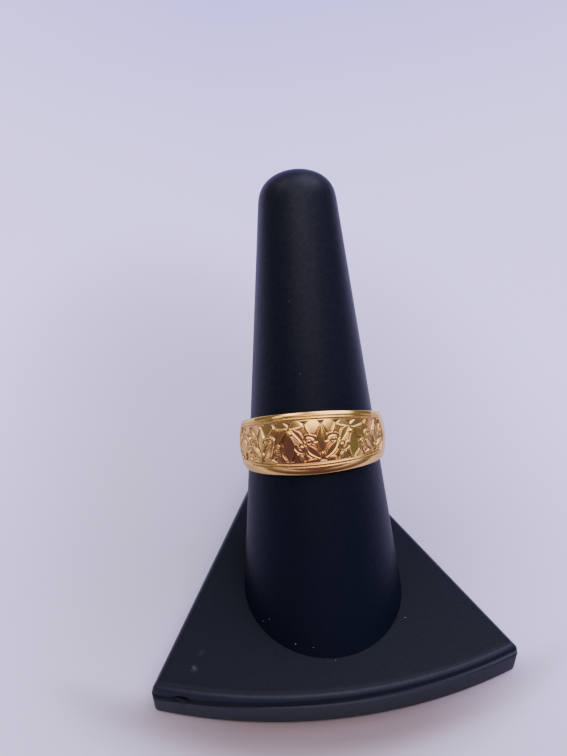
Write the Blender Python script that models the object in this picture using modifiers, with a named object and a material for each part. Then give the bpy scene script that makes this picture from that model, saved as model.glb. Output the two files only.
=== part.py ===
"""A tapered gold band with a raised panel of leaves and curls, on a leaning display stand.

Metres, +Z up. The stand's flat underside lies on z = 0. The post's axis leaves the
plate's top above the origin and leans back towards +Y, away from the front (-Y).
"""
import math

import bmesh
import bpy
import numpy as np
from mathutils import Matrix, Vector

MM = 0.001

# Ring band: bore, wall and widths at the front, the sides and the back
BORE_RADIUS = 9.50 * MM
BAND_WALL = 0.90 * MM
BAND_CROWN = 0.30 * MM
BAND_EDGE_ROUND = 0.22 * MM
BAND_EDGE_POWER = 10
BAND_WIDTH_FRONT = 8.14 * MM
BAND_WIDTH_SIDE = 5.80 * MM
BAND_WIDTH_BACK = 4.14 * MM
BAND_RIM = 1.15 * MM
BORE_CHAMFER = 0.12 * MM
# Sections along the panel and round the back, and rows across a rim and the panel
PANEL_STEPS = 134
BACK_STEPS = 40
RIM_ROWS = 3
RIM_CROWDING = 1.5
PANEL_ROWS = 22

# Front panel, sunk between the rims
PANEL_HALF_ANGLE = math.radians(72)
PANEL_END_SPARE = math.radians(1.5)
PANEL_END_BOW = 0.9 * MM
PANEL_TURN = math.radians(-12)
PANEL_WALL = 0.12 * MM
RELIEF_DEPTH = 0.42 * MM

# Frieze in the panel: bays side by side, every other one upside down. An upright leaf
# stands between two slanting leaves that end in curls, over a bud. Places are counted
# along and across the band from the middle of a bay, here for one side of it, and a
# leaf's row holds its along, across, angle in degrees, half length, half width and bend
PANEL_BAYS = 6
LEAVES = [
    (0.00 * MM, 0.80 * MM, 90, 2.05 * MM, 0.98 * MM, 0.00 * MM),
    (1.06 * MM, -0.74 * MM, 56, 1.50 * MM, 0.62 * MM, -0.30 * MM),
    (1.28 * MM, -2.26 * MM, -16, 1.10 * MM, 0.46 * MM, 0.16 * MM),
]
CURL_PLACE = (1.60 * MM, 0.52 * MM)
CURL_RADIUS = 0.80 * MM
CURL_HALF_WIDTH = 0.44 * MM
CURL_START = math.radians(172)
CURL_SHRINK = 0.36
BUD_PLACE = -1.50 * MM
BUD_RADIUS = 0.50 * MM
GROUND_HEIGHT = 0.30
# A stroke's wall ends at this share of its half width and is this wide
STROKE_EDGE = 1.15
STROKE_SLOPE = 0.55
# Three-cornered chips cut into the ground along both rims
CHIP_PITCH = 1.45 * MM
CHIP_HALF_BASE = 0.62 * MM
CHIP_HEIGHT = 1.10 * MM
CHIP_SLOPE = 0.25 * MM

# How the ring hangs on the post
RING_TILT = math.radians(7.5)
SEAT_CLEARANCE = 0.10 * MM

# Stand post: a leaning cone with a blunt domed tip
POST_FOOT_RADIUS = 11.25 * MM
POST_LENGTH = 58.0 * MM
POST_TAPER = math.radians(6.18)
POST_LEAN = math.radians(26.5)
TIP_HEIGHT = 4.72 * MM
TIP_FULLNESS = 2.9
TIP_STEPS = 8
POST_STEPS = 56

# Stand plate: a fan with a curved front, straight sides and a rounded tail
PLATE_THICKNESS = 4.9 * MM
PLATE_FRONT_REACH = 18.6 * MM
PLATE_APEX_BACK = 45.25 * MM
PLATE_HALF_ANGLE = math.radians(22)
PLATE_FRONT_RADIUS = 73.2 * MM
PLATE_CORNER_RADIUS = 0.8 * MM
PLATE_CORNER_LEAST = 0.15 * MM
PLATE_TAIL_RADIUS = 5.0 * MM
PLATE_EDGE_ROUND = 1.35 * MM
PLATE_BOTTOM_ROUND = 0.50 * MM
FRONT_STEPS = 24
CORNER_STEPS = 5
TAIL_STEPS = 14
TOP_EDGE_STEPS = 4
BOTTOM_EDGE_STEPS = 3

# Edges that turn by more than this are shaded sharp
STAND_SHARP_ANGLE = math.radians(40)
BAND_SHARP_ANGLE = math.radians(50)
WELD_DISTANCE = 0.00001


def clear_scene():
    for item in list(bpy.data.objects):
        bpy.data.objects.remove(item, do_unlink=True)


def new_collection(name):
    collection = bpy.data.collections.new(name)
    bpy.context.scene.collection.children.link(collection)
    return collection


def add_object(name, data, collection):
    item = bpy.data.objects.new(name, data)
    collection.objects.link(item)
    return item


def make_material(name, color, metallic, roughness):
    material = bpy.data.materials.new(name)
    material.use_nodes = True
    shader = material.node_tree.nodes["Principled BSDF"]
    shader.inputs["Base Color"].default_value = (*color, 1.0)
    shader.inputs["Metallic"].default_value = metallic
    shader.inputs["Roughness"].default_value = roughness
    return material


def mark_as_cutter(item):
    item.hide_render = True
    item.display_type = "WIRE"


# Stand plate

def arc(center, radius, start, end, steps):
    """Points on a circle, with angles counted from the front (-Y) towards the right (+X)."""
    angles = np.linspace(start, end, steps + 1)
    return [(center[0] + radius * math.sin(a), center[1] - radius * math.cos(a)) for a in angles]


def plate_outline(inset):
    """The fan's outline drawn in by an inset, counter-clockwise from its front left corner."""
    front_center = PLATE_FRONT_RADIUS - PLATE_FRONT_REACH
    tail_center = PLATE_APEX_BACK - PLATE_TAIL_RADIUS / math.sin(PLATE_HALF_ANGLE)
    front_radius = PLATE_FRONT_RADIUS - inset
    corner_radius = max(PLATE_CORNER_RADIUS - inset, PLATE_CORNER_LEAST)
    along_side = Vector((math.sin(PLATE_HALF_ANGLE), -math.cos(PLATE_HALF_ANGLE)))
    inward = Vector((-math.cos(PLATE_HALF_ANGLE), -math.sin(PLATE_HALF_ANGLE)))
    # The corner's centre is one corner radius inside both the side and the front arc
    start = Vector((0.0, PLATE_APEX_BACK - front_center)) + (inset + corner_radius) * inward
    half_term = start.dot(along_side)
    reach = front_radius - corner_radius
    travel = -half_term + math.sqrt(half_term ** 2 - start.length_squared + reach ** 2)
    corner = start + travel * along_side
    front_half = math.atan2(corner.x, -corner.y)
    right_center = (corner.x, corner.y + front_center)
    left_center = (-corner.x, corner.y + front_center)
    side_normal = math.pi / 2 + PLATE_HALF_ANGLE
    turn = 2 * math.pi
    points = arc((0.0, front_center), front_radius, -front_half, front_half, FRONT_STEPS)
    points += arc(right_center, corner_radius, front_half, side_normal, CORNER_STEPS)[1:]
    tail_radius = PLATE_TAIL_RADIUS - inset
    points += arc((0.0, tail_center), tail_radius, side_normal, turn - side_normal, TAIL_STEPS)
    points += arc(left_center, corner_radius, turn - side_normal, turn - front_half, CORNER_STEPS)[:-1]
    return points


def make_plate_mesh():
    """Loft the fan's outline out over the bottom edge, up its wall and in over the top edge.

    The top edge's rounding is wider than the front corners, so they tighten as it rises.
    """
    sections = []
    for step in range(BOTTOM_EDGE_STEPS + 1):
        turn = step / BOTTOM_EDGE_STEPS * math.pi / 2
        rise = PLATE_BOTTOM_ROUND * (1 - math.cos(turn))
        sections.append((rise, PLATE_BOTTOM_ROUND * (1 - math.sin(turn))))
    for step in range(TOP_EDGE_STEPS + 1):
        turn = step / TOP_EDGE_STEPS * math.pi / 2
        drop = PLATE_EDGE_ROUND * (1 - math.sin(turn))
        sections.append((PLATE_THICKNESS - drop, PLATE_EDGE_ROUND * (1 - math.cos(turn))))
    solid = bmesh.new()
    rings = []
    for height, inset in sections:
        rings.append([solid.verts.new((x, y, height)) for x, y in plate_outline(inset)])
    for lower, upper in zip(rings, rings[1:]):
        for index in range(len(lower)):
            solid.faces.new((lower[index - 1], lower[index], upper[index], upper[index - 1]))
    solid.faces.new(rings[-1])
    solid.faces.new(rings[0][::-1])
    mesh = bpy.data.meshes.new("display_stand")
    solid.to_mesh(mesh)
    solid.free()
    return mesh


# Stand post

def post_radius(distance):
    """Radius of the cone at a distance along its axis above the plate's top."""
    return POST_FOOT_RADIUS - distance * math.tan(POST_TAPER)


def post_profile():
    """Half section of the post, from the tip down to a foot buried in the plate."""
    shoulder = POST_LENGTH - TIP_HEIGHT
    profile = []
    for step in range(TIP_STEPS + 1):
        height = math.cos(step / TIP_STEPS * math.pi / 2)
        along = shoulder + TIP_HEIGHT * height
        fullness = math.sqrt(max(0.0, 1.0 - height ** TIP_FULLNESS))
        profile.append((post_radius(along) * fullness, along))
    buried = -(POST_FOOT_RADIUS * math.sin(POST_LEAN) + PLATE_THICKNESS) / math.cos(POST_LEAN)
    profile.append((post_radius(buried), buried))
    profile.append((0.0, buried))
    return profile


def make_post(collection):
    """Turn the profile about the post's axis and lean the result back."""
    profile = post_profile()
    mesh = bpy.data.meshes.new("post_blank")
    edges = [(index, index + 1) for index in range(len(profile) - 1)]
    mesh.from_pydata([(radius, 0.0, along) for radius, along in profile], edges, [])
    post = add_object("post_blank", mesh, collection)
    post.location = (0.0, 0.0, PLATE_THICKNESS)
    post.rotation_euler = (-POST_LEAN, 0.0, 0.0)
    screw = post.modifiers.new("turned", "SCREW")
    screw.steps = POST_STEPS
    screw.render_steps = POST_STEPS
    screw.use_merge_vertices = True
    screw.merge_threshold = WELD_DISTANCE
    screw.use_smooth_shade = True
    mark_as_cutter(post)
    return post


def make_foot_cutter(collection):
    """A block larger than the plate that takes away the post below the plate's middle."""
    mesh = bpy.data.meshes.new("foot_cutter")
    block = bmesh.new()
    bmesh.ops.create_cube(block, size=1.0)
    side = 2 * (PLATE_FRONT_REACH + PLATE_APEX_BACK)
    bmesh.ops.scale(block, vec=(side, side, side), verts=block.verts)
    block.to_mesh(mesh)
    block.free()
    cutter = add_object("foot_cutter", mesh, collection)
    cutter.location = (0.0, 0.0, PLATE_THICKNESS / 2 - side / 2)
    mark_as_cutter(cutter)
    return cutter


def make_stand(collection, cutters):
    """The moulded stand: the plate with the leaning post joined to it as one solid."""
    post = make_post(cutters)
    trim = post.modifiers.new("trim_foot", "BOOLEAN")
    trim.operation = "DIFFERENCE"
    trim.solver = "EXACT"
    trim.object = make_foot_cutter(cutters)
    stand = add_object("display_stand", make_plate_mesh(), collection)
    join = stand.modifiers.new("join_post", "BOOLEAN")
    join.operation = "UNION"
    join.solver = "EXACT"
    join.object = post
    stand.data.shade_smooth()
    stand.data.set_sharp_from_angle(angle=STAND_SHARP_ANGLE)
    stand.data.materials.append(make_material("black_plastic", (0.012, 0.014, 0.020), 0.0, 0.45))
    return stand


# Ring band

def half_width(angle):
    """Half of the band's width at an angle from the middle of the panel."""
    swing = math.cos(angle)
    front, side, back = BAND_WIDTH_FRONT / 2, BAND_WIDTH_SIDE / 2, BAND_WIDTH_BACK / 2
    return side + (front - back) / 2 * swing + ((front + back) / 2 - side) * swing ** 2


def outer_radius(share):
    """Crowned outside of the band; share runs from -1 to 1 across its width."""
    middle = BORE_RADIUS + BAND_WALL
    return middle - BAND_CROWN * share ** 2 - BAND_EDGE_ROUND * share ** BAND_EDGE_POWER


def band_section():
    """Front section as (radius, across) pairs, up the outside and down the bore."""
    half = BAND_WIDTH_FRONT / 2
    # The rows of a rim crowd towards its rounded edge
    rim = [half - BAND_RIM * (row / RIM_ROWS) ** RIM_CROWDING for row in range(RIM_ROWS + 1)]
    panel_half = half - BAND_RIM - PANEL_WALL
    panel = [panel_half * (2 * row / (PANEL_ROWS - 1) - 1) for row in range(PANEL_ROWS)]
    outside = [-across for across in rim] + panel + rim[::-1]
    section = [(outer_radius(across / half), across) for across in outside]
    section.append((BORE_RADIUS + BORE_CHAMFER, half))
    bore_half = half - BORE_CHAMFER
    section += [(BORE_RADIUS, bore_half), (BORE_RADIUS, 0.0), (BORE_RADIUS, -bore_half)]
    section.append((BORE_RADIUS + BORE_CHAMFER, -half))
    return section


def tapered(across, angle):
    """Place across the band at an angle, from a place across its front section.

    The rims keep their width, and what lies between them narrows.
    """
    front_field = BAND_WIDTH_FRONT / 2 - BAND_RIM
    inner = min(abs(across), front_field) / front_field * (half_width(angle) - BAND_RIM)
    outer = max(abs(across) - front_field, 0.0)
    return math.copysign(inner + outer, across)


def round_angle(even):
    """Angle round the band of an evenly spaced step: close along the panel, wide behind it."""
    panel_even = math.pi * PANEL_STEPS / (PANEL_STEPS + BACK_STEPS)
    panel_end = PANEL_HALF_ANGLE + PANEL_END_SPARE
    return float(np.interp(even, (-math.pi, -panel_even, panel_even, math.pi),
                           (-math.pi, -panel_end, panel_end, math.pi)))


# Frieze in the panel; every height is a share of the relief's depth

def eased(share):
    """A smooth step from 0 to 1."""
    share = min(max(share, 0.0), 1.0)
    return share * share * (3 - 2 * share)


def stroke_height(share):
    """Section of a leaf or stem: flat on top, with share 0 on its spine and 1 near its edge."""
    return eased((STROKE_EDGE - share) / STROKE_SLOPE)


def leaf_height(along, across, leaf):
    """Height of a leaf, which tapers to both tips about a spine that may be bent."""
    leaf_along, leaf_across, degrees, half_length, half_wide, bend = leaf
    cosine, sine = math.cos(math.radians(degrees)), math.sin(math.radians(degrees))
    lengthwise = (along - leaf_along) * cosine + (across - leaf_across) * sine
    sideways = (across - leaf_across) * cosine - (along - leaf_along) * sine
    taper = 1.0 - (lengthwise / half_length) ** 2
    if taper <= 0:
        return 0.0
    return stroke_height(abs(sideways - bend * taper) / (half_wide * taper))


def curl_height(along, across):
    """Height of the curl that ends a slanting leaf: a stem that thins as it winds one turn in."""
    along, across = along - CURL_PLACE[0], CURL_PLACE[1] - across
    turned = (math.atan2(across, along) - CURL_START) / (2 * math.pi) % 1.0
    shrunk = CURL_SHRINK ** turned
    from_stem = abs(math.hypot(along, across) - CURL_RADIUS * shrunk)
    return stroke_height(from_stem / (CURL_HALF_WIDTH * shrunk))


def bay_height(along, across):
    """Height of one bay: the bud, and on both sides of it the leaves and the curl."""
    height = stroke_height(math.hypot(along, across - BUD_PLACE) / BUD_RADIUS)
    for side in (along, -along):
        height = max(height, curl_height(side, across))
        for leaf in LEAVES:
            height = max(height, leaf_height(side, across, leaf))
    return height


def chip_depth(along, across):
    """Depth of the chips along both rims, as a share: each is a pyramid turned over."""
    panel_half = BAND_WIDTH_FRONT / 2 - BAND_RIM
    sideways = abs((along / CHIP_PITCH + 0.5) % 1.0 - 0.5) * CHIP_PITCH
    inwards = panel_half - abs(across)
    from_side = CHIP_HALF_BASE * (1.0 - inwards / CHIP_HEIGHT) - sideways
    return min(max(from_side / CHIP_SLOPE, 0.0), 1.0)


def frieze_height(along, across):
    """Height of the frieze over its ground, at a place along and across the panel."""
    bay_length = 2 * PANEL_HALF_ANGLE * (BORE_RADIUS + BAND_WALL) / PANEL_BAYS
    height = GROUND_HEIGHT * (1.0 - chip_depth(along, across))
    bay = math.floor(along / bay_length)
    for neighbour in (bay - 1, bay, bay + 1):
        flip = 1 if neighbour % 2 == 0 else -1
        bay_along = along - (neighbour + 0.5) * bay_length
        height = max(height, bay_height(bay_along, across * flip))
    return height


def relief(angle, across):
    """How far the outside lies below its crown: the sunk panel less the raised frieze."""
    field = half_width(angle) - BAND_RIM
    across_share = across / field
    around = BORE_RADIUS + BAND_WALL
    from_end = (PANEL_HALF_ANGLE - abs(angle)) * around - PANEL_END_BOW * across_share ** 2
    if abs(across_share) * field > field - WELD_DISTANCE or from_end < 0:
        return 0.0
    # The frieze is drawn for the front, and its height across follows the taper
    drawn_across = across_share * (BAND_WIDTH_FRONT / 2 - BAND_RIM)
    return RELIEF_DEPTH * (1.0 - frieze_height(angle * around, drawn_across))


def make_band(collection):
    """Turn the front section about the ring's axis, then taper it and carve its panel."""
    section = band_section()
    blank = bmesh.new()
    loop = [blank.verts.new((0.0, -radius, across)) for radius, across in section]
    edges = [blank.edges.new((loop[index - 1], loop[index])) for index in range(len(loop))]
    bmesh.ops.spin(
        blank, geom=loop + edges, cent=(0.0, 0.0, 0.0), axis=(0.0, 0.0, 1.0),
        angle=2 * math.pi, steps=PANEL_STEPS + BACK_STEPS, use_merge=True)
    bore_side = BORE_RADIUS + BORE_CHAMFER + WELD_DISTANCE
    for vertex in blank.verts:
        radius = math.hypot(vertex.co.x, vertex.co.y)
        angle = round_angle(math.atan2(vertex.co.x, -vertex.co.y))
        across = tapered(vertex.co.z, angle)
        if radius > bore_side:
            radius -= relief(angle, across)
        turned = angle + PANEL_TURN
        vertex.co = (radius * math.sin(turned), -radius * math.cos(turned), across)
    bmesh.ops.recalc_face_normals(blank, faces=blank.faces)
    mesh = bpy.data.meshes.new("band")
    blank.to_mesh(mesh)
    blank.free()
    mesh.shade_smooth()
    mesh.set_sharp_from_angle(angle=BAND_SHARP_ANGLE)
    mesh.materials.append(make_material("gold", (0.80, 0.52, 0.21), 1.0, 0.18))
    return add_object("band", mesh, collection)


def seat_band(band):
    """Hang the tilted band where its front top edge and back lower edge meet the cone."""
    front, back = half_width(0.0), half_width(math.pi)
    sine, cosine = math.sin(RING_TILT), math.cos(RING_TILT)
    slope = math.tan(POST_TAPER)
    spare = POST_FOOT_RADIUS + SEAT_CLEARANCE - BORE_RADIUS * cosine
    height = (2 * spare + (front + back) * sine - (front - back) * cosine * slope) / (2 * slope)
    overhang = (2 * BORE_RADIUS * sine + (front + back) * cosine) * slope
    drop = (overhang - (front - back) * sine) / 2
    lean = Matrix.Rotation(-POST_LEAN, 3, "X")
    foot = Vector((0.0, 0.0, PLATE_THICKNESS))
    band.location = foot + lean @ Vector((0.0, drop, height))
    band.rotation_euler = (-POST_LEAN - RING_TILT, 0.0, 0.0)


def main():
    clear_scene()
    parts = new_collection("ring_on_stand")
    cutters = new_collection("cutters")
    make_stand(parts, cutters)
    seat_band(make_band(parts))


main()
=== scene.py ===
"""A tapered gold ring with a raised panel of leaves and curls, on a leaning black stand."""
import math

import bpy
import numpy as np
from mathutils import Matrix, Vector


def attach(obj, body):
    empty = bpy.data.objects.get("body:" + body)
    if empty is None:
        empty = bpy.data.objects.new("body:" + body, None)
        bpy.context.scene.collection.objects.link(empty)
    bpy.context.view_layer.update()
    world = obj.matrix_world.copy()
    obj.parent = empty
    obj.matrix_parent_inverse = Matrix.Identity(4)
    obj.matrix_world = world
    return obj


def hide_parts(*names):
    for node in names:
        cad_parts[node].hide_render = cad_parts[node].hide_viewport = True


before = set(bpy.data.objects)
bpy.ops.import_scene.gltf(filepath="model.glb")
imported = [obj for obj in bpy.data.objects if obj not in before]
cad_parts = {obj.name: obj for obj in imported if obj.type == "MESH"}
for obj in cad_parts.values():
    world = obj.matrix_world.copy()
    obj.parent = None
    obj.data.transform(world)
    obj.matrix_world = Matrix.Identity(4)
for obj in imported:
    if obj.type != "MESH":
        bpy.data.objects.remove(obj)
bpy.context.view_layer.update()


# The stand's plate: the fan-shaped foot of the stand.
# Black ABS, injection moulded in one with the post, with a rounded top edge over a fine
# step where the two halves of the mould met.

# Sizes are in millimetres unless a section says otherwise, and meshes are in metres
MM = 0.001
PLATE_THICKNESS = 4.9
# The fan's reach in front of the post's axis, the point behind it where the straight sides
# would meet, half the angle between them, and the radius of the front
PLATE_FRONT_REACH = 18.6
PLATE_APEX_BACK = 45.25
PLATE_HALF_ANGLE = math.radians(22)
PLATE_FRONT_RADIUS = 73.2
# The front corners' radius, and the least that an inset leaves of it
PLATE_CORNER_RADIUS = 0.8
PLATE_CORNER_LEAST = 0.15
PLATE_TAIL_RADIUS = 5.0
PLATE_EDGE_ROUND = 1.35
PLATE_BOTTOM_ROUND = 0.50
PLATE_STEP = 0.12
# Rows of the step: how far each lies below the rounded edge, and its inset
STEP_ROWS = [(0.30, 0.0), (0.16, 0.04), (0.10, PLATE_STEP)]

# Points along the outline's front, each corner, each straight side and the tail, and rows
# up each rounded edge
FRONT_POINTS = 241
CORNER_POINTS = 13
SIDE_POINTS = 60
TAIL_POINTS = 41
ROUND_ROWS = 20
# Faces that meet at more than this keep a crisp edge between them
CRISP_ANGLE = math.radians(50)

# A nick in the front edge over the step: place along the front, height, half sizes,
# depth, how much gloss it takes away and how much painted shade darkens it inside, and
# the place that it lies nearer than
NICK_X = -20.0
NICK_HEIGHT = 3.62
NICK_HALF_LENGTH = 0.75
NICK_HALF_HEIGHT = 0.27
NICK_DEPTH = 0.60
NICK_SHADE_AND_DULLNESS = 1.25
NICK_NEARER = -13.0

# The front wall gets duller and painted darker, a painted shade, towards its right end: by
# how much, where that starts and over what length, the height that it lies below and the
# place that it lies nearer than
END_SHADE_AND_DULLNESS = 0.42
END_START = 4.0
END_LENGTH = 18.0
END_BELOW = 3.5
END_NEARER = -5.0

# A nub left by the mould and a shallow dent, both in the top: x, y, radius, rise, added shine
MARKS = [
    (-18.44, -12.42, 0.30, 0.26, 6.0),
    (-17.45, -10.70, 0.45, -0.10, 0.6),
]
# The top closes in rows of its own shape, shrunk to these shares around the nub
TOP_SHARES = [0.94, 0.8, 0.6, 0.4, 0.25, *np.linspace(0.14, 0.004, 34)]


def arc(center, radius, start, end, count):
    """Points on a circle: centre plus radius times (sin a, -cos a), a from start to end."""
    angle = np.linspace(start, end, count)
    return np.stack([center[0] + radius * np.sin(angle), center[1] - radius * np.cos(angle)], 1)


def fan_outline(inset):
    """The fan's outline at an inset: front, corner, side, tail, side and corner.

    A corner's centre lies one corner radius inside both the front arc and the side, so
    it is where the side, moved in by that much, meets the front circle made smaller.
    """
    front_center = PLATE_FRONT_RADIUS - PLATE_FRONT_REACH
    tail_center = PLATE_APEX_BACK - PLATE_TAIL_RADIUS / math.sin(PLATE_HALF_ANGLE)
    corner_radius = max(PLATE_CORNER_RADIUS - inset, PLATE_CORNER_LEAST)
    side = np.array([math.sin(PLATE_HALF_ANGLE), -math.cos(PLATE_HALF_ANGLE)])
    inward = np.array([-math.cos(PLATE_HALF_ANGLE), -math.sin(PLATE_HALF_ANGLE)])
    start = np.array([0.0, PLATE_APEX_BACK - front_center]) + (inset + corner_radius) * inward
    reach = PLATE_FRONT_RADIUS - inset - corner_radius
    length = -start @ side + math.sqrt((start @ side) ** 2 - start @ start + reach ** 2)
    corner = start + length * side
    half = math.atan2(corner[0], -corner[1])
    normal = math.pi / 2 + PLATE_HALF_ANGLE
    right = (corner[0], corner[1] + front_center)
    left = (-corner[0], corner[1] + front_center)
    whole = 2 * math.pi
    tail = arc((0.0, tail_center), PLATE_TAIL_RADIUS - inset, normal, whole - normal, TAIL_POINTS)
    right_corner = arc(right, corner_radius, half, normal, CORNER_POINTS)[1:]
    left_corner = arc(left, corner_radius, whole - normal, whole - half, CORNER_POINTS)[:-1]
    share = np.linspace(0, 1, SIDE_POINTS + 2)[1:-1, None]
    return np.concatenate([
        arc((0.0, front_center), PLATE_FRONT_RADIUS - inset, -half, half, FRONT_POINTS),
        right_corner, right_corner[-1] + share * (tail[0] - right_corner[-1]),
        tail, tail[-1] + share * (left_corner[0] - tail[-1]), left_corner,
    ])


def ridge(place, size, middle, spread):
    """A soft ridge: its size times e to the minus square of (place - middle) / spread."""
    return size * np.exp(-((place - middle) / spread) ** 2)


def grid_faces(rows, columns, close_rows=False):
    """Quads between neighbouring rows and columns of a grid whose columns close round."""
    row = np.arange(rows if close_rows else rows - 1)[:, None]
    column = np.arange(columns)[None, :]
    next_row = (row + 1) % rows
    next_column = (column + 1) % columns
    corners = [row * columns + column, row * columns + next_column,
               next_row * columns + next_column, next_row * columns + column]
    return np.stack(np.broadcast_arrays(*corners), -1).reshape(-1, 4)


def add_piece(name, points, faces):
    """A smooth-shaded object at the origin, made from points in metres and lists of corners."""
    mesh = bpy.data.meshes.new(name)
    mesh.from_pydata(points, [], faces)
    mesh.shade_smooth()
    mesh.update()
    piece = bpy.data.objects.new(name, mesh)
    bpy.context.scene.collection.objects.link(piece)
    return piece


def add_map(piece, name, values):
    """A value for each of the piece's points, which its material can read by name."""
    point_map = piece.data.attributes.new(name, "FLOAT", "POINT")
    point_map.data.foreach_set("value", values.ravel().astype(np.float32))


quarter = np.linspace(0, math.pi / 2, ROUND_ROWS)
edge_start = PLATE_THICKNESS - PLATE_EDGE_ROUND
bottom_edge = zip(PLATE_BOTTOM_ROUND * (1 - np.cos(quarter)), PLATE_BOTTOM_ROUND * (1 - np.sin(quarter)))
step_edge = [(edge_start - below, inset) for below, inset in STEP_ROWS]
top_edge = zip(edge_start + PLATE_EDGE_ROUND * np.sin(quarter),
               PLATE_STEP + (PLATE_EDGE_ROUND - PLATE_STEP) * (1 - np.cos(quarter)))
plate_rings, shine = [], []
for row_height, inset in [*bottom_edge, *step_edge, *top_edge]:
    outline = fan_outline(inset)
    x, y = outline.T
    from_nick = np.hypot((x - NICK_X) / NICK_HALF_LENGTH, (row_height - NICK_HEIGHT) / NICK_HALF_HEIGHT)
    bite = ridge(from_nick, 1.0, 0.0, 1.0) * (y < NICK_NEARER)
    towards_end = np.clip((x - END_START) / END_LENGTH, 0, 1) * (y < END_NEARER) * (row_height < END_BELOW)
    plate_rings.append(np.column_stack([x, y + NICK_DEPTH * bite, np.full(len(x), row_height)]))
    # Painted shade: this map darkens and dulls the nick's inside and the front wall's right end
    shine.append(1 - NICK_SHADE_AND_DULLNESS * bite - END_SHADE_AND_DULLNESS * towards_end)

rim = plate_rings[-1]
nub_place = np.array([*MARKS[0][:2], PLATE_THICKNESS])
for share in TOP_SHARES:
    shrunk = nub_place + (rim - nub_place) * share
    row_shine = np.ones(len(shrunk))
    for x, y, mark_radius, mark_rise, added_shine in MARKS:
        mark = ridge(np.hypot(shrunk[:, 0] - x, shrunk[:, 1] - y), 1.0, 0.0, mark_radius)
        shrunk[:, 2] += mark_rise * mark
        row_shine += added_shine * mark
    plate_rings.append(shrunk)
    shine.append(row_shine)
columns = len(rim)
plate_points = np.concatenate(plate_rings) * MM
plate_faces = grid_faces(len(plate_rings), columns).tolist()
plate_faces.append(list(range(columns))[::-1])
plate_faces.append(list(range(len(plate_points) - columns, len(plate_points))))
stand_plate = add_piece("stand_plate", plate_points, plate_faces)
stand_plate.data.set_sharp_from_angle(angle=CRISP_ANGLE)
add_map(stand_plate, "shine", np.concatenate(shine))


def linear(code):
    """An sRGB hex colour as linear values, each a share of 255.

    A share over 0.04045 becomes (share + 0.055) / 1.055 to the power 2.4, and a lower
    one is divided by 12.92.
    """
    share = np.array([int(code[start:start + 2], 16) for start in (0, 2, 4)]) / 255
    values = np.where(share <= 0.04045, share / 12.92, ((share + 0.055) / 1.055) ** 2.4)
    return (*values.tolist(), 1.0)


def add_node(tree, kind, settings=None, **links):
    """Add a node, set its properties and its inputs' values, and link sockets to its inputs.

    An input goes by its name or its number, and stops fill a colour ramp: each is a
    place from 0 to 1 and a colour.
    """
    node = tree.nodes.new("ShaderNode" + kind)
    for name, value in (settings or {}).items():
        if name == "stops":
            for place, color in value[1:-1]:
                node.color_ramp.elements.new(place)
            for stop, (place, color) in zip(node.color_ramp.elements, value):
                stop.position = place
                stop.color = color
        elif isinstance(name, int) or name in node.inputs:
            node.inputs[name].default_value = value
        else:
            setattr(node, name, value)
    for name, socket in links.items():
        target = node.inputs[int(name[1:])] if name[0] == "_" else node.inputs[name]
        tree.links.new(socket, target)
    return node


def new_material(name, **values):
    """A material with one Principled shader, and the values that are the same all over."""
    material = bpy.data.materials.new(name)
    material.use_nodes = True
    shader = material.node_tree.nodes["Principled BSDF"]
    for socket, value in values.items():
        shader.inputs[socket.replace("_", " ")].default_value = value
    return material, material.node_tree, shader


# Black ABS, matte from the mould, which the eye takes for a faintly blue black. Handling has
# rubbed the rounded rim shiny, and the gloss is lower on a band below it. The height sets the
# gloss and the tone, and the tone is painted: paler on the wall, a little paler on the rim and
# darker on that band, painted reflections of the pale paper and of the bright and dim parts
# of the room. Height in mm, gloss, colour
GLOSS_AND_PAINTED_TONE = [
    (3.38, 0.17, "272D37"),
    (3.56, 0.11, "0A1118"),
    (4.08, 0.11, "0A1118"),
    (4.32, 0.16, "161A26"),
    (4.68, 0.16, "161A26"),
    (4.82, 0.060, "10141A"),
]
# Towards the right the pale painted tone and the gloss bands reach higher: its rise per mm, and where that
# starts
GLOSS_AND_PAINTED_TONE_RISE = 0.023
GLOSS_AND_PAINTED_TONE_START = -8.0
# The mould's matte face breaks up the gloss in grains of this size, drawn coarser than
# they are so that they show, and by this share up and down
GRAIN = 0.45
GRAIN_SHARE = 0.20


def broken_by_grain(tree, place, gloss):
    """A gloss times a noise of the grain's size, from one share below it to one above it."""
    grain = add_node(tree, "TexNoise", {"Scale": 1 / (GRAIN * MM), "Detail": 3.0}, Vector=place)
    uneven = add_node(tree, "MapRange", {"From Min": 0.3, "From Max": 0.7, "To Min": 1 - GRAIN_SHARE,
                                         "To Max": 1 + GRAIN_SHARE}, Value=grain.outputs["Fac"])
    broken = add_node(tree, "Math", {"operation": "MULTIPLY"}, _0=gloss, _1=uneven.outputs[0])
    return broken.outputs[0]


plate_abs, tree, shader = new_material("black_abs_painted_tone", Roughness=0.40, Specular_Tint=linear("EEF2FF"))
plate_place = add_node(tree, "TexCoord").outputs["Object"]
plate_parts = add_node(tree, "SeparateXYZ", _0=plate_place).outputs
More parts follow.
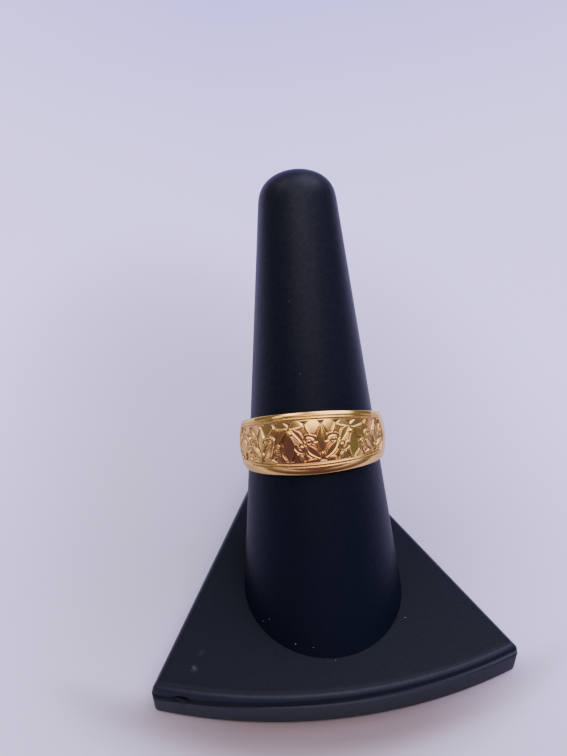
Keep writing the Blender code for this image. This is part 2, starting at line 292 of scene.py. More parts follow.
# The bands are read lower than the place itself, by the rise times how far the place lies
# to the right and how far beneath the top
rightwards = add_node(tree, "Math", {"operation": "SUBTRACT", 1: GLOSS_AND_PAINTED_TONE_START * MM}, _0=plate_parts["X"])
beneath = add_node(tree, "Math", {"operation": "SUBTRACT", 0: PLATE_THICKNESS * MM}, _1=plate_parts["Z"])
tone_shift = add_node(tree, "Math", {"operation": "MULTIPLY"},
                      _0=rightwards.outputs[0], _1=beneath.outputs[0])
lowered = add_node(tree, "Math", {"operation": "MULTIPLY_ADD", 1: -GLOSS_AND_PAINTED_TONE_RISE / MM},
                _0=tone_shift.outputs[0], _2=plate_parts["Z"])
lowered_height = add_node(tree, "MapRange", {"From Max": PLATE_THICKNESS * MM}, Value=lowered.outputs[0])
gloss_stops = [(height / PLATE_THICKNESS, (gloss, gloss, gloss, 1.0)) for height, gloss, code in GLOSS_AND_PAINTED_TONE]
color_stops = [(height / PLATE_THICKNESS, linear(code)) for height, gloss, code in GLOSS_AND_PAINTED_TONE]
band_gloss = add_node(tree, "ValToRGB", {"stops": gloss_stops}, _0=lowered_height.outputs["Result"])
# Painted reflection: this ramp makes the wall paler and the band below the rim darker
painted_tone = add_node(tree, "ValToRGB", {"stops": color_stops}, _0=lowered_height.outputs["Result"])
plate_gloss = broken_by_grain(tree, plate_place, band_gloss.outputs["Color"])
# The nick has painted shade inside and less gloss, the wall's right end has painted shade
# and less gloss, and the nub has been rubbed bright
gloss_and_shade_map = add_node(tree, "Attribute", {"attribute_name": "shine"})
marked = add_node(tree, "Math", {"operation": "MULTIPLY", "use_clamp": True},
                  _0=plate_gloss, _1=gloss_and_shade_map.outputs["Fac"])
plate_color = add_node(tree, "Mix", {"data_type": "RGBA", 6: linear("000000")},
                       _0=gloss_and_shade_map.outputs["Fac"], _7=painted_tone.outputs["Color"])
tree.links.new(marked.outputs[0], shader.inputs["Specular IOR Level"])
tree.links.new(plate_color.outputs[2], shader.inputs["Base Color"])
stand_plate.data.materials.append(plate_abs)
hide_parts("display_stand")
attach(stand_plate, "root")


# The stand's post: a leaning cone with a blunt domed tip that the ring slides over.
# It is one black ABS moulding with the plate, round and smooth, and meets the plate's top
# in a crisp corner.

POST_FOOT_RADIUS = 11.25
POST_LENGTH = 58.0
POST_TAPER = math.radians(6.18)
POST_LEAN = math.radians(26.5)
# The cone runs on this far into the plate, where it ends flat at this height
POST_SUNK = 1.5
POST_END_HEIGHT = 0.5
# The domed tip's height, and a power that makes it blunter than a ball, which has 2
TIP_HEIGHT = 4.72
TIP_FULLNESS = 2.9
POST_ROWS = 60
TIP_ROWS = 38
POST_SIDES = 192


def lean_back(points, angle):
    """Points turned back about X by an angle a, and stood on the plate's top.

    y becomes y cos a + z sin a, and z becomes z cos a - y sin a plus the plate's thickness.
    """
    x, y, z = points
    tilted = (x, y * math.cos(angle) + z * math.sin(angle), z * math.cos(angle) - y * math.sin(angle))
    return np.stack([tilted[0], tilted[1], tilted[2] + PLATE_THICKNESS], -1)


shoulder = POST_LENGTH - TIP_HEIGHT
tip_share = np.sin(np.linspace(0, math.pi / 2, TIP_ROWS + 2)[1:-1])
buried = -(POST_FOOT_RADIUS * math.sin(POST_LEAN) + POST_SUNK) / math.cos(POST_LEAN)
post_along = np.concatenate([np.linspace(buried, shoulder, POST_ROWS), shoulder + TIP_HEIGHT * tip_share])
fullness = np.concatenate([np.ones(POST_ROWS), np.sqrt(1 - tip_share ** TIP_FULLNESS)])
post_radius = (POST_FOOT_RADIUS - post_along * math.tan(POST_TAPER)) * fullness
around = np.linspace(0, 2 * math.pi, POST_SIDES + 1)[:-1]
post_grid = lean_back((post_radius[:, None] * np.sin(around), -post_radius[:, None] * np.cos(around),
                       post_along[:, None] + 0 * around), POST_LEAN)
post_grid[..., 2] = np.maximum(post_grid[..., 2], POST_END_HEIGHT)
tip = lean_back((np.zeros(1), np.zeros(1), np.full(1, POST_LENGTH)), POST_LEAN)
post_points = np.concatenate([post_grid.reshape(-1, 3), tip]) * MM
post_faces = grid_faces(len(post_along), POST_SIDES).tolist()
last_row = np.arange(POST_SIDES) + (len(post_along) - 1) * POST_SIDES
post_faces += np.stack([last_row, np.roll(last_row, -1), 0 * last_row + len(post_points) - 1], 1).tolist()
post_faces.append(list(range(POST_SIDES))[::-1])
stand_post = add_piece("stand_post", post_points, post_faces)

# Moulded black ABS, which gives the eye one broad soft sheen. Rings slid on and off have
# rubbed it, so the gloss grows from the lower height to the upper one
RUBBED_FROM = 8
RUBBED_TO = 40
GLOSS_BELOW = 0.068
GLOSS_ABOVE = 0.138
moulded_abs, tree, shader = new_material("moulded_black_abs", Roughness=0.45, Base_Color=linear("070C17"),
                                         Specular_Tint=linear("E2EAFF"))
post_place = add_node(tree, "TexCoord").outputs["Object"]
post_height = add_node(tree, "SeparateXYZ", _0=post_place).outputs["Z"]
rubbed = add_node(tree, "MapRange", {"From Min": RUBBED_FROM * MM, "From Max": RUBBED_TO * MM,
                                     "To Min": GLOSS_BELOW, "To Max": GLOSS_ABOVE}, Value=post_height)
post_gloss = broken_by_grain(tree, post_place, rubbed.outputs[0])
tree.links.new(post_gloss, shader.inputs["Specular IOR Level"])
stand_post.data.materials.append(moulded_abs)
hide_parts("display_stand")
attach(stand_post, "root")


# Dust: a few specks of lint that lie on the plate and on the front of the post.
# They are pale fibre, flat and rounded, and rest on the plastic.

# The place of each speck's middle, and its radius
SPECKS = [
    ((-5.20, -11.25, 5.83), 0.10), ((-3.01, -12.15, 5.95), 0.07), ((-9.10, -7.34, 5.95), 0.07),
    ((-8.29, -7.82, 6.87), 0.07), ((10.18, -8.39, 4.90), 0.10), ((-0.34, -13.60, 4.90), 0.07),
    ((-2.60, 12.18, 43.66), 0.07), ((-2.00, 6.81, 35.76), 0.07),
]
# Half sizes of a speck as shares of its radius
SPECK_FORM = [1.0, 0.7, 0.5]
SPECK_ROWS = 5
SPECK_SIDES = 10
polar = np.linspace(0, math.pi, SPECK_ROWS + 2)[1:-1, None]
round_speck = np.linspace(0, 2 * math.pi, SPECK_SIDES + 1)[None, :-1]
ball = np.stack([np.sin(polar) * np.cos(round_speck), np.sin(polar) * np.sin(round_speck),
                 -np.cos(polar) + 0 * round_speck], -1)
ball = np.concatenate([ball.reshape(-1, 3), [[0, 0, -1], [0, 0, 1]]])
side = np.arange(SPECK_SIDES)
upper_side = side + (SPECK_ROWS - 1) * SPECK_SIDES
bottom, top = 0 * side + len(ball) - 2, 0 * side + len(ball) - 1
ball_faces = [*grid_faces(SPECK_ROWS, SPECK_SIDES),
              *np.stack([np.roll(side, -1), side, bottom], 1),
              *np.stack([upper_side, np.roll(upper_side, -1), top], 1)]
speck_points, speck_faces = [], []
for number, (middle, speck_radius) in enumerate(SPECKS):
    speck_points.append(np.array(middle) + ball * speck_radius * SPECK_FORM)
    speck_faces += [(face + len(ball) * number).tolist() for face in ball_faces]
dust = add_piece("dust", np.concatenate(speck_points) * MM, speck_faces)

# Pale lint: a dry grey fleck to the eye, mottled at the size of its fibres
FIBRE = 0.04
lint, tree, shader = new_material("pale_lint", Roughness=0.9)
lint_place = add_node(tree, "TexCoord").outputs["Object"]
fuzz = add_node(tree, "TexNoise", {"Scale": 1 / (FIBRE * MM), "Detail": 2.0}, Vector=lint_place)
mottled = add_node(tree, "Mix", {"data_type": "RGBA", 6: linear("4E4C5A"), 7: linear("6A6878")},
                   _0=fuzz.outputs["Fac"])
tree.links.new(mottled.outputs[2], shader.inputs["Base Color"])
dust.data.materials.append(lint)
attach(dust, "root")


# The ring: a wide band that tapers towards the back, hanging tilted on the post.
# Yellow gold, cast in one piece with its raised leaves and curls, then polished so that
# the high parts are bright and the walls and low places between them stay duller.

BORE_RADIUS = 9.50
BAND_WALL = 0.90
# The outside falls away towards both edges: this much with the square of the distance
# from the middle, and this much with a high power of it
BAND_CROWN = 0.30
BAND_EDGE_ROUND = 0.22
BAND_EDGE_POWER = 10
BAND_WIDTH_FRONT = 8.14
BAND_WIDTH_SIDE = 5.80
BAND_WIDTH_BACK = 4.14
BAND_RIM = 1.15
PANEL_HALF_ANGLE = math.radians(72)
PANEL_TURN = math.radians(-12)
RELIEF_DEPTH = 0.42
RING_TILT = math.radians(7.5)
SEAT_CLEARANCE = 0.10
BAND_AROUND = BORE_RADIUS + BAND_WALL
PANEL_LENGTH = 2 * PANEL_HALF_ANGLE * BAND_AROUND
PANEL_HALF_HEIGHT = BAND_WIDTH_FRONT / 2 - BAND_RIM
# The sunk panel sits this much higher than the band's middle, its ends bow in by this
# much, and its wall is this wide
PANEL_LIFT = 0.26
PANEL_END_BOW = 0.9
PANEL_WALL = 0.10
# The frame around the panel: size, distance from the panel and spread of bead and groove
FRAME_BEAD = (0.03, 0.10, 0.08)
FRAME_GROOVE = (-0.13, 0.28, 0.060)
# The bore's rounded edges: distance from the band's edge, and how much wider the bore is
BORE_EDGE = [(0.0, 0.12), (0.06, 0.04), (0.12, 0.005), (0.20, 0.0), (2.0, 0.0)]

# The frieze's bays, and the leaves on one side of a bay: center x, center y, angle in
# degrees, half length, half width, bend. Broad ones have rims, small ones are soft ridges
BAYS = 6
BAY = PANEL_LENGTH / BAYS
BROAD_LEAVES = [
    (0.00, 0.74, 90, 2.15, 0.92, 0.0),
    (1.10, -0.92, 54, 1.62, 0.66, -0.34),
]
SMALL_LEAVES = [
    (1.62, 2.10, 66, 0.90, 0.50, -0.10),
    (1.32, -2.42, -12, 0.95, 0.42, 0.16),
]
# A leaf is broader by this share at its foot, and narrower by it at its tip
LEAF_SKEW = 0.25
# The curl is a spiral that shrinks to this share in a turn. Its stem thins a little more
# slowly, by this power of the same share
CURL_CENTER = (1.60, 0.52)
CURL_RADIUS = 0.80
CURL_HALF_WIDTH = 0.47
CURL_START = math.radians(172)
CURL_TURNS = 1.0
CURL_SHRINK = 0.36
CURL_THINNING = 0.8
# Radii of the round eye in the curl and of the bud, and how far the bud sits below the middle
CURL_EYE = 0.30
BUD_RADIUS = 0.46
BUD_LOW = 1.50
# The drawing is squeezed this many times across the band and sits this far below its middle
LEAF_SQUEEZE = 1.12
LEAF_DROP = 0.30
# Three-cornered chips along both rims: pitch, half base as a share of it, height, gap to
# the rim, width of their walls, and depth as a share of the ground's height
CHIP_PITCH = 2.18
CHIP_HALF_BASE = 0.29
CHIP_HEIGHT = 0.72
CHIP_MARGIN = 0.30
CHIP_SLOPE = 0.25
CHIP_DEPTH = 0.9
# Heights as shares of the relief: the ground, a small leaf's top, a broad stroke's middle
# and how much that rises outwards
GROUND = 0.52
SMALL_TOP = 0.86
STROKE_MIDDLE = 0.77
STROKE_RISE = 0.10
# Widths of the walls of a stroke and a small leaf, as shares of their half widths
STROKE_WALL = 0.25
SMALL_WALL = 0.9
# Size, place and spread of a stroke's fine rim and of the trench cut around it
STROKE_RIM = (0.13, 0.74, 0.15)
TRENCH = (0.45, 1.05, 0.08)
# The slow waver: size, radians per mm along and across, and start of each wave
WAVER_ALONG = [(0.10, 0.9, 1.3, 0.0), (0.09, 2.1, 0.0, 1.7)]
WAVER_ACROSS = [(0.08, 1.1, 0.0, 0.5), (0.06, 2.3, -1.3, 0.0)]
# Beyond any shape's edge
FAR = 9.0

# Rows across the front lie closest at the panel's frame: how far each row of a rim lies
# outwards from the panel, the number of rows in the panel, and their gap to its edges
RIM_ROWS = [-0.05, *np.linspace(0, 0.70, 16), *np.linspace(0.80, BAND_RIM, 4)]
PANEL_ROWS = 96
PANEL_ROW_MARGIN = 0.10
# Columns round the band are close along the panel and a little past its ends, by the
# spare angle, and wider apart behind
FRONT_COLUMNS = 601
BACK_COLUMNS = 61
FRONT_SPARE = math.radians(2)


def half_width(angle):
    """Half of the band's width, a curve through half of its front, side and back widths.

    It is the side's, plus (front - back) / 2 times the angle's cosine, plus the mean of
    front and back, less the side's, times the cosine's square.
    """
    swing = np.cos(angle)
    front, side, back = BAND_WIDTH_FRONT / 2, BAND_WIDTH_SIDE / 2, BAND_WIDTH_BACK / 2
    return side + (front - back) / 2 * swing + ((front + back) / 2 - side) * swing ** 2


def ease(share):
    """A smooth step from 0 to 1: three times the share's square less twice its cube."""
    share = np.clip(share, 0, 1)
    return share * share * (3 - 2 * share)


def stroke(share):
    """Section of a broad stroke: a nearly flat middle, a fine raised rim and a steep wall.

    The middle rises outwards with the share, the rim is a ridge, and the wall eases both
    down to nothing at the edge.
    """
    top = STROKE_MIDDLE + STROKE_RISE * share + ridge(share, *STROKE_RIM)
    return top * ease((1 - share) / STROKE_WALL)


def keeled(share):
    """Section of a small leaf: its top's height, eased down to nothing at the edge."""
    return SMALL_TOP * ease((1 - share) / SMALL_WALL)


def half_ball(distance, radius):
    """Height of half a ball: the root of 1 less the square of distance / radius."""
    return np.sqrt(np.clip(1 - (distance / radius) ** 2, 0, 1))


def from_leaf(x, y, center, angle, half_length, half_wide, bend):
    """Distance from a leaf's bent spine as a share of its width there; 1 is its edge.

    The taper is 1 less the square of the place along the leaf over its half length. Both
    the spine's bend and the leaf's width go with it.
    """
    cosine, sine = math.cos(math.radians(angle)), math.sin(math.radians(angle))
    lengthwise = (x - center[0]) * cosine + (y - center[1]) * sine
    sideways = (y - center[1]) * cosine - (x - center[0]) * sine
    taper = 1 - (lengthwise / half_length) ** 2
    spread = half_wide * np.maximum(taper, 1e-6) * (1 - LEAF_SKEW * lengthwise / half_length)
    return np.where(taper > 0, abs(sideways - bend * taper) / spread, FAR)


def from_curl(x, y):
    """Distance from the spiral as a share of its stem's width, which thins as it winds in.

    Each full turn multiplies the radius by the same share; both ends are round.
    """
    dx, dy = x - CURL_CENTER[0], CURL_CENTER[1] - y
    reach = np.hypot(dx, dy)
    first = np.mod(np.arctan2(dy, dx) - CURL_START, 2 * math.pi) / (2 * math.pi)
    nearest = np.full_like(reach, FAR)
    for winding in (first, first + 1):
        wide = CURL_HALF_WIDTH * CURL_SHRINK ** (CURL_THINNING * winding)
        gap = abs(reach - CURL_RADIUS * CURL_SHRINK ** winding) / wide
        nearest = np.where(winding <= CURL_TURNS, np.minimum(nearest, gap), nearest)
    for end in (0.0, CURL_TURNS):
        angle = 2 * math.pi * end + CURL_START
        radius = CURL_RADIUS * CURL_SHRINK ** end
        gap = np.hypot(dx - radius * math.cos(angle), dy - radius * math.sin(angle))
        nearest = np.minimum(nearest, gap / (CURL_HALF_WIDTH * CURL_SHRINK ** (CURL_THINNING * end)))
    return nearest


def bay_shapes(x, y):
    """One bay: the distance from its nearest broad stroke, and the height of its small parts.

    An upright leaf stands between two slanting leaves that end in curls, over a bud, with
    small leaves in the corners. The sides mirror each other, so x and -x share the sizes.
    """
    broad = np.full_like(x, FAR)
    small = half_ball(np.hypot(x, y + BUD_LOW), BUD_RADIUS)
    for side in (x, -x):
        broad = np.minimum(broad, from_curl(side, y))
        eye = half_ball(np.hypot(side - CURL_CENTER[0], y - CURL_CENTER[1]), CURL_EYE)
        small = np.maximum(small, eye)
        for center_x, center_y, *sizes in BROAD_LEAVES:
            broad = np.minimum(broad, from_leaf(side, y, (center_x, center_y), *sizes))
        for center_x, center_y, *sizes in SMALL_LEAVES:
            small = np.maximum(small, keeled(from_leaf(side, y, (center_x, center_y), *sizes)))
    return broad, small


def chips(x, y):
    """Depth of the three-cornered chips cut along both rims, each a pyramid turned over.

    It is the distance from the nearest of the chip's three sides over its walls' width.
    """
    sideways = abs(np.mod(x + CHIP_PITCH / 2, CHIP_PITCH) - CHIP_PITCH / 2)
    inwards = PANEL_HALF_HEIGHT - CHIP_MARGIN - abs(y)
    half_base = CHIP_HALF_BASE * CHIP_PITCH
    slant = math.hypot(half_base, CHIP_HEIGHT)
    from_side = ((CHIP_HEIGHT - inwards) * half_base / CHIP_HEIGHT - sideways) * CHIP_HEIGHT / slant
    return np.clip(np.minimum(inwards, from_side) / CHIP_SLOPE, 0, 1)


def waver(along, across, waves):
    """A sum of waves, each its size times the sine of a sum.

    That sum is its start, its rate along times the place along, and its rate across
    times the place across.
    """
    return sum(size * np.sin(rate_across * across + rate_along * along + start)
               for size, rate_along, rate_across, start in waves)


def ornament(along, across):
    """Height of the leaf frieze, 0 at its deepest to 1 on top, at a place in millimetres.

    Bays stand side by side along the panel, every other one upside down. The ground
    between them is cut away beside the broad strokes and chipped along the rims. A slow
    waver keeps the repeats from being exactly alike, as in hand-cut work.
    """
    x = along + waver(along, across, WAVER_ALONG)
    y = LEAF_SQUEEZE * (across + LEAF_DROP) + waver(along, across, WAVER_ACROSS)
    broad = np.full_like(x, FAR)
    small = np.zeros_like(x)
    bay = np.floor(x / BAY)
    for step in (-1, 0, 1):
        flip = np.where(np.mod(bay + step, 2) == 0, 1.0, -1.0)
        strokes, parts = bay_shapes(x - (bay + step + 0.5) * BAY, y * flip)
        broad = np.minimum(broad, strokes)
        small = np.maximum(small, parts)
    ground = GROUND * (1 - CHIP_DEPTH * chips(x, across)) * (1 - ridge(broad, *TRENCH))
    return np.maximum(np.maximum(stroke(broad), small), ground)


def tapered(front_place, angle):
    """Place across the band at an angle, from a place across its front.

    A place in the panel keeps its share of the width between the rims, which narrows,
    and one on a rim keeps its distance from the panel.
    """
    inner = np.minimum(abs(front_place), PANEL_HALF_HEIGHT) / PANEL_HALF_HEIGHT
    outer = np.maximum(abs(front_place) - PANEL_HALF_HEIGHT, 0.0)
    return np.sign(front_place) * (inner * (half_width(angle) - BAND_RIM) + outer)


rim_rows = PANEL_HALF_HEIGHT + np.array(RIM_ROWS)
panel_reach = PANEL_HALF_HEIGHT - PANEL_ROW_MARGIN
panel_rows = np.linspace(-panel_reach, panel_reach, PANEL_ROWS)
front_rows = np.concatenate([-rim_rows[::-1], panel_rows, rim_rows])
panel_end = PANEL_HALF_ANGLE + FRONT_SPARE
back_columns = np.linspace(panel_end, 2 * math.pi - panel_end, BACK_COLUMNS)[1:-1]
band_columns = np.concatenate([np.linspace(-panel_end, panel_end, FRONT_COLUMNS), back_columns])
band_columns = np.where(band_columns > math.pi, band_columns - 2 * math.pi, band_columns)

# The outside: a crown that falls away to rounded edges, less the panel and its frame
front_across, angle = np.meshgrid(front_rows, band_columns, indexing="ij")
from_middle = front_across / (BAND_WIDTH_FRONT / 2)
along = angle * BAND_AROUND
across = tapered(front_across, angle)
field_half = half_width(angle) - BAND_RIM
frieze = ornament(along, (across - PANEL_LIFT) / field_half * PANEL_HALF_HEIGHT)
end_bow = PANEL_END_BOW * np.clip(across / field_half, -1, 1) ** 2
from_end = (PANEL_HALF_ANGLE - abs(angle)) * BAND_AROUND - end_bow
inside = np.minimum(field_half - abs(across - PANEL_LIFT), from_end)
sunk = ease(inside / PANEL_WALL)
relief = ridge(-inside, *FRAME_BEAD) + ridge(-inside, *FRAME_GROOVE) - RELIEF_DEPTH * (1 - frieze) * sunk
crown = BAND_CROWN * from_middle ** 2 + BAND_EDGE_ROUND * from_middle ** BAND_EDGE_POWER
outside = BAND_AROUND - crown + relief

# The bore: straight, with rounded edges
edge_in, edge_wider = np.array(BORE_EDGE).T
bore_rows = BAND_WIDTH_FRONT / 2 - edge_in
bore_rows = np.concatenate([bore_rows, [0.0], -bore_rows[::-1]])
bore_radii = BORE_RADIUS + np.concatenate([edge_wider, [0.0], edge_wider[::-1]])
bore_across, bore_angle = np.meshgrid(bore_rows, band_columns, indexing="ij")
band_radius = np.concatenate([outside, bore_radii[:, None] + 0 * bore_angle])
band_angle = np.concatenate([angle, bore_angle])
band_lift = np.concatenate([across, tapered(bore_across, bore_angle)])

# Tilted as it is, the bore meets the cone at its front upper edge and its back lower edge.
# Each edge's distance from the post's axis is the cone's radius there plus the clearance:
# the sum of the two gives the seat along the post, their difference the drop across it
slope = math.tan(POST_TAPER)
front, back = half_width(0.0), half_width(math.pi)
sine, cosine = math.sin(RING_TILT), math.cos(RING_TILT)
spare = POST_FOOT_RADIUS + SEAT_CLEARANCE - BORE_RADIUS * cosine
seat = (2 * spare + (front + back) * sine - (front - back) * cosine * slope) / (2 * slope)
drop = ((2 * BORE_RADIUS * sine + (front + back) * cosine) * slope - (front - back) * sine) / 2
ring_points = lean_back((band_radius * np.sin(band_angle + PANEL_TURN),
                         -band_radius * np.cos(band_angle + PANEL_TURN), band_lift), POST_LEAN + RING_TILT)
ring_points = ring_points + [0.0, seat * math.sin(POST_LEAN) + drop * math.cos(POST_LEAN),
                             seat * math.cos(POST_LEAN) - drop * math.sin(POST_LEAN)]
gold_band = add_piece("gold_band", ring_points.reshape(-1, 3) * MM,
                      grid_faces(*band_angle.shape, close_rows=True).tolist())
add_map(gold_band, "raised", np.concatenate([1 - (1 - frieze) * sunk, np.ones_like(bore_angle)]))

# The middle of the panel is tinted darker and browner, a painted reflection of the dim room
# in front: place along and across, half sizes, and the tint
PAINTED_REFLECTION_PLACE = (-0.2, -0.9)
PAINTED_REFLECTION_SIZE = (4.3, 2.7)
PAINTED_REFLECTION_TINT = "DDCBE2"
browned = np.exp(-((along - PAINTED_REFLECTION_PLACE[0]) / PAINTED_REFLECTION_SIZE[0]) ** 4
                 - ((across - PAINTED_REFLECTION_PLACE[1]) / PAINTED_REFLECTION_SIZE[1]) ** 4)
add_map(gold_band, "browned", np.concatenate([browned, 0 * bore_angle]))

# Polished yellow gold: warm and bright where it is high, brown in the chips and trenches.
# The tops and the ground are polished, the walls stay as cast. Height, then colour or roughness
GOLD_TONES = [(0.05, "705844"), (0.40, "BE9B5C"), (0.80, "CCA85F")]
GOLD_ROUGHNESS = [(0.05, 0.30), (0.52, 0.18), (0.57, 0.34), (0.69, 0.34), (0.76, 0.13)]
gold, tree, shader = new_material("polished_yellow_gold", Metallic=1.0, Specular_Tint=linear("FFF4DC"))
raised_map = add_node(tree, "Attribute", {"attribute_name": "raised"})
tone_stops = [(height, linear(code)) for height, code in GOLD_TONES]
gold_color = add_node(tree, "ValToRGB", {"stops": tone_stops}, _0=raised_map.outputs["Fac"])
# Painted reflection: the middle of the panel is tinted darker and browner
reflection_map = add_node(tree, "Attribute", {"attribute_name": "browned"})
reflection_tinted = add_node(tree, "Mix", {"data_type": "RGBA", "blend_type": "MULTIPLY", 7: linear(PAINTED_REFLECTION_TINT)},
                _0=reflection_map.outputs["Fac"], _6=gold_color.outputs["Color"])
rough_stops = [(height, (value, value, value, 1.0)) for height, value in GOLD_ROUGHNESS]
dullness = add_node(tree, "ValToRGB", {"stops": rough_stops}, _0=raised_map.outputs["Fac"])
tree.links.new(reflection_tinted.outputs[2], shader.inputs["Base Color"])
tree.links.new(dullness.outputs["Color"], shader.inputs["Roughness"])
gold_band.data.materials.append(gold)
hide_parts("band")
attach(gold_band, "root")


# The table and its backdrop: one sheet of pale paper that sweeps up far behind.
# It isn't part of the object. Its sizes are in metres.

SHEET_HALF = 1.5
SWEEP_START = 0.6
SWEEP_RADIUS = 2.0
SWEEP_ROWS = 24

sweep = np.linspace(0, math.pi / 2, SWEEP_ROWS)
backwards = np.concatenate([[-SHEET_HALF], SWEEP_START + SWEEP_RADIUS * np.sin(sweep)])
rise = np.concatenate([[0.0], SWEEP_RADIUS * (1 - np.cos(sweep))])
left_edge = np.column_stack([np.full(len(rise), -SHEET_HALF), backwards, rise])
sheet_points = np.concatenate([left_edge, left_edge * [-1, 1, 1]])
left = np.arange(SWEEP_ROWS)
sheet_faces = np.stack([left, left + len(rise), left + len(rise) + 1, left + 1], 1).tolist()
sheet = add_piece("sheet", sheet_points, sheet_faces)

# Soft shades on the paper. Each is an oval whose middle and half sizes are counted across,
# and outwards from the plate's curved front edge, with its tint. It starts at the first
# of these shares of its half sizes and is full at the second
SHADE_FADE = (1.15, 0.25)
SHADES = [
    ((-0.0091, -0.0315, 0.0), (0.0684, 0.1297, 1.0), "CFD3C6"),
    ((-0.0043, 0.0022, 0.0), (0.0337, 0.0060, 1.0), "C9C0B2"),
    ((-0.0007, 0.0012, 0.0), (0.0355, 0.0038, 1.0), "CABFBA"),
    ((0.655, -1.763, 0.0), (2.521, 2.569, 1.0), "B4B6EC"),
]

# Nearer than the plate, outside the picture, the paper falls into one broad soft shadow,
# which the ring's lower rim mirrors. It starts and is full this far outwards from the
# plate, and this far to either side
SHADOW_START = 0.010
SHADOW_FULL = 0.036
SHADOW_SIDE_START = 0.36
SHADOW_SIDE_FULL = 0.05
SHADOW_TINT = "4B3C42"


def within_oval(tree, place, middle, half_sizes, fade):
    """How far a place lies within an oval: a smooth step from 0 to 1.

    Its distance from the middle has each part divided by the oval's half size there. The
    step starts at the fade's first value and is full at its second.
    """
    offset = add_node(tree, "VectorMath", {"operation": "SUBTRACT", 1: middle}, _0=place)
    scaled = add_node(tree, "VectorMath", {"operation": "DIVIDE", 1: half_sizes}, _0=offset.outputs[0])
    distance = add_node(tree, "VectorMath", {"operation": "LENGTH"}, _0=scaled.outputs[0])
    step = add_node(tree, "MapRange", {"interpolation_type": "SMOOTHSTEP", "From Min": fade[0],
                                       "From Max": fade[1]}, Value=distance.outputs["Value"])
    return step.outputs["Result"]


# Pale matte paper, a cool white, with painted shade and a painted shadow that grey it softly by the stand
paper, tree, shader = new_material("pale_paper", Roughness=0.9)
paper_place = add_node(tree, "TexCoord")
paper_parts = add_node(tree, "SeparateXYZ", _0=paper_place.outputs["Object"]).outputs
# How far outwards from the plate's front edge: the length of a spoke from the middle of
# the front's circle, less the circle's radius, and less what lies behind the middle
front_center = (PLATE_FRONT_RADIUS - PLATE_FRONT_REACH) * MM
behind = add_node(tree, "Math", {"operation": "SUBTRACT", 1: front_center}, _0=paper_parts["Y"])
past = add_node(tree, "Math", {"operation": "MAXIMUM", 1: 0.0}, _0=behind.outputs[0])
before = add_node(tree, "Math", {"operation": "MINIMUM", 1: 0.0}, _0=behind.outputs[0])
spoke = add_node(tree, "CombineXYZ", _0=paper_parts["X"], _1=before.outputs[0])
spoke_length = add_node(tree, "VectorMath", {"operation": "LENGTH"}, _0=spoke.outputs[0])
outwards = add_node(tree, "Math", {"operation": "SUBTRACT"}, _0=spoke_length.outputs["Value"],
                    _1=past.outputs[0])
from_edge = add_node(tree, "Math", {"operation": "SUBTRACT", 1: PLATE_FRONT_RADIUS * MM},
                     _0=outwards.outputs[0])
shade_place = add_node(tree, "CombineXYZ", _0=paper_parts["X"], _1=from_edge.outputs[0])
bare_paper = add_node(tree, "RGB")
bare_paper.outputs[0].default_value = linear("E6E4FF")
paper_color = bare_paper.outputs[0]
for middle, half_sizes, tint in SHADES:
    amount = within_oval(tree, shade_place.outputs[0], middle, half_sizes, SHADE_FADE)
    shaded = add_node(tree, "Mix", {"data_type": "RGBA", "blend_type": "MULTIPLY", 7: linear(tint)},
                      _0=amount, _6=paper_color)
    paper_color = shaded.outputs[2]
nearer = add_node(tree, "MapRange", {"interpolation_type": "SMOOTHSTEP", "From Min": SHADOW_START,
                                     "From Max": SHADOW_FULL}, Value=from_edge.outputs[0])
sideways = add_node(tree, "Math", {"operation": "ABSOLUTE"}, _0=paper_parts["X"])
midway = add_node(tree, "MapRange", {"interpolation_type": "SMOOTHSTEP", "From Min": SHADOW_SIDE_START,
                                     "From Max": SHADOW_SIDE_FULL}, Value=sideways.outputs[0])
shadow = add_node(tree, "Math", {"operation": "MULTIPLY"}, _0=nearer.outputs[0], _1=midway.outputs[0])
shadowed = add_node(tree, "Mix", {"data_type": "RGBA", "blend_type": "MULTIPLY", 7: linear(SHADOW_TINT)},
                    _0=shadow.outputs[0], _6=paper_color)
tree.links.new(shadowed.outputs[2], shader.inputs["Base Color"])
sheet.data.materials.append(paper)


# The light: an even grey room, brighter overhead and dim low down in front, with soft
# lamps. A wide one stands over the front and one high up on each side, with weak ones
# lower down on both sides. Places and sizes here are shares of a direction of length 1.

ROOM_COLOR = (0.31, 0.31, 0.32, 1.0)
OVERHEAD_COLOR = (1.50, 1.25, 1.58, 1.0)
# How far upwards the overhead part starts and is full
OVERHEAD_START = 0.74
OVERHEAD_FULL = 0.98

# The dim part: its middle, its half sizes to the side, forwards and upwards, its fade
DIM_MIDDLE = (-0.25, -0.90, 0.08)
DIM_SIZE = (1.00, 0.95, 0.50)
DIM_FADE = (1.15, 0.75)
DIM_COLOR = (0.27, 0.180, 0.33, 1.0)

# Soft lamps: middle as degrees round from the front and degrees up, half sizes to the
# side, forwards and upwards, and light
LAMP_FADE = (1.0, 0.4)
LAMPS = [
    ((0, 50), (0.78, 0.52, 0.21), (6.5, 5.3, 4.6, 1.0)),
    ((104, 64), (0.62, 0.62, 0.62), (5.2, 4.6, 6.3, 1.0)),
    ((100, 46), (0.24, 0.24, 0.24), (2.4, 2.0, 2.0, 1.0)),
    ((-104, 62), (0.33, 0.33, 0.33), (6.5, 5.6, 5.4, 1.0)),
    ((62, 45), (0.45, 0.45, 0.45), (0.5, 0.45, 0.50, 1.0)),
    ((-92, 38), (0.20, 0.20, 0.20), (3.4, 2.7, 2.3, 1.0)),
]

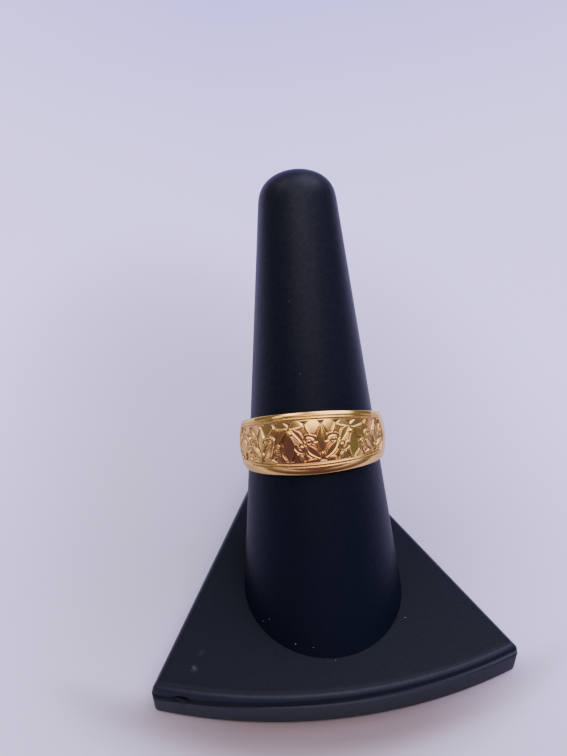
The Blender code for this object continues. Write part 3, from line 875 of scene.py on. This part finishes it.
room = bpy.data.worlds.new("soft_room")
bpy.context.scene.world = room
room.use_nodes = True
tree = room.node_tree
direction = add_node(tree, "TexCoord").outputs["Generated"]
upwards = add_node(tree, "SeparateXYZ", _0=direction).outputs["Z"]
overhead = add_node(tree, "MapRange", {"interpolation_type": "SMOOTHSTEP", "From Min": OVERHEAD_START,
                                       "From Max": OVERHEAD_FULL}, Value=upwards)
sky = add_node(tree, "Mix", {"data_type": "RGBA", 6: ROOM_COLOR, 7: OVERHEAD_COLOR},
               _0=overhead.outputs["Result"])
dimness = within_oval(tree, direction, DIM_MIDDLE, DIM_SIZE, DIM_FADE)
dimmed = add_node(tree, "Mix", {"data_type": "RGBA", 7: DIM_COLOR}, _0=dimness, _6=sky.outputs[2])
light = dimmed.outputs[2]
for (lamp_round, lamp_up), half_sizes, color in LAMPS:
    lamp_round, lamp_up = math.radians(lamp_round), math.radians(lamp_up)
    middle = (math.sin(lamp_round) * math.cos(lamp_up),
              -math.cos(lamp_round) * math.cos(lamp_up), math.sin(lamp_up))
    glow = within_oval(tree, direction, middle, half_sizes, LAMP_FADE)
    added = add_node(tree, "Mix", {"data_type": "RGBA", "blend_type": "ADD", 7: color}, _0=glow, _6=light)
    light = added.outputs[2]
tree.links.new(light, tree.nodes["Background"].inputs["Color"])


# The camera: held close in front, looking down at the ring. Its place, angles and lens
# put the outlines where the photograph has them, to about a pixel.

CAMERA_PLACE = Vector((-10.66, -63.02, 79.42)) * MM
CAMERA_PITCH = math.radians(32.15)
CAMERA_YAW = math.radians(5.32)
CAMERA_ROLL = math.radians(1.56)
CAMERA_LENS = 30.48
# Nothing nearer than this is seen, in metres
CAMERA_NEAREST = 0.005

forward = Vector((math.sin(CAMERA_YAW) * math.cos(CAMERA_PITCH),
                  math.cos(CAMERA_YAW) * math.cos(CAMERA_PITCH), -math.sin(CAMERA_PITCH)))
level = Vector((math.cos(CAMERA_YAW), -math.sin(CAMERA_YAW), 0.0))
down = forward.cross(level)
right = level * math.cos(CAMERA_ROLL) + down * math.sin(CAMERA_ROLL)
downward = down * math.cos(CAMERA_ROLL) - level * math.sin(CAMERA_ROLL)
turned = Matrix((right, -downward, -forward)).transposed().to_4x4()
lens = bpy.data.cameras.new("camera")
lens.lens = CAMERA_LENS
lens.clip_start = CAMERA_NEAREST
camera = bpy.data.objects.new("camera", lens)
camera.matrix_world = Matrix.Translation(CAMERA_PLACE) @ turned
bpy.context.scene.collection.objects.link(camera)
bpy.context.scene.camera = camera
